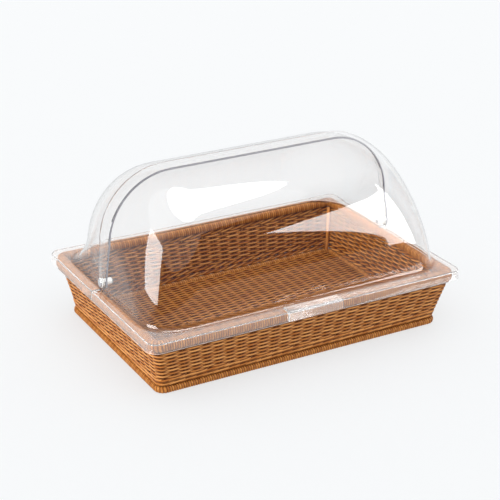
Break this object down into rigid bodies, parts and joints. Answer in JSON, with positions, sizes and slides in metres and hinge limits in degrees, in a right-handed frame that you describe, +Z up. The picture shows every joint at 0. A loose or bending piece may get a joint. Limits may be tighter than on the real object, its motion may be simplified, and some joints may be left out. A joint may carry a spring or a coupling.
{
  "type": "roll top food cover",
  "caption": "Clear roll top food cover on a woven tray basket; the front lid rolls up and back over the fixed rear shell about side pivots.",
  "frame": {"origin": "on the ground, under the centre of the outline seen from above", "axes": "+X to the right along the pivots, +Y from the opening front to the fixed rear, +Z up"},
  "size_m": [0.462, 0.3328, 0.244],
  "materials": {
    "wicker": "honey brown woven plastic wicker, satin",
    "wicker_border": "honey brown plastic wicker wrapped round the borders, satin",
    "clear_sheet": "clear polished plastic sheet",
    "frosted_clear": "lightly frosted clear plastic",
    "white_nylon": "white moulded nylon",
    "grey_cap": "grey moulded plastic",
    "steel_pin": "polished steel"
  },
  "bodies": {
    "basket": {"floor_weave": "wicker", "side_weave": "wicker", "top_border": "wicker_border", "foot_border": "wicker_border", "corner_stake_front_left": "wicker", "corner_stake_rear_left": "wicker", "corner_stake_front_right": "wicker", "corner_stake_rear_right": "wicker"},
    "cover": {"rear_shell": "clear_sheet", "rear_flange": "clear_sheet", "rear_skirt": "clear_sheet", "pivot_pin_left": "steel_pin", "pivot_sleeve_left": "white_nylon", "sleeve_cap_left": "grey_cap", "spacer_washer_left": "white_nylon", "head_washer_left": "white_nylon", "pivot_pin_right": "steel_pin", "pivot_sleeve_right": "white_nylon", "sleeve_cap_right": "grey_cap", "spacer_washer_right": "white_nylon", "head_washer_right": "white_nylon"},
    "front_lid": {"front_shell": "clear_sheet", "front_flange": "clear_sheet", "front_skirt": "clear_sheet", "front_handle": "frosted_clear"}
  },
  "joints": [
    {"name": "cover_lift", "type": "slide", "parent": "basket", "child": "cover", "axis": [0, 0, 1], "range_m": [0, 0.05]},
    {"name": "lid_roll", "type": "hinge", "parent": "cover", "child": "front_lid", "pos_m": [0, 0.0054, 0.099], "axis": [-1, 0, 0], "range_deg": [0, 75]}
  ]
}
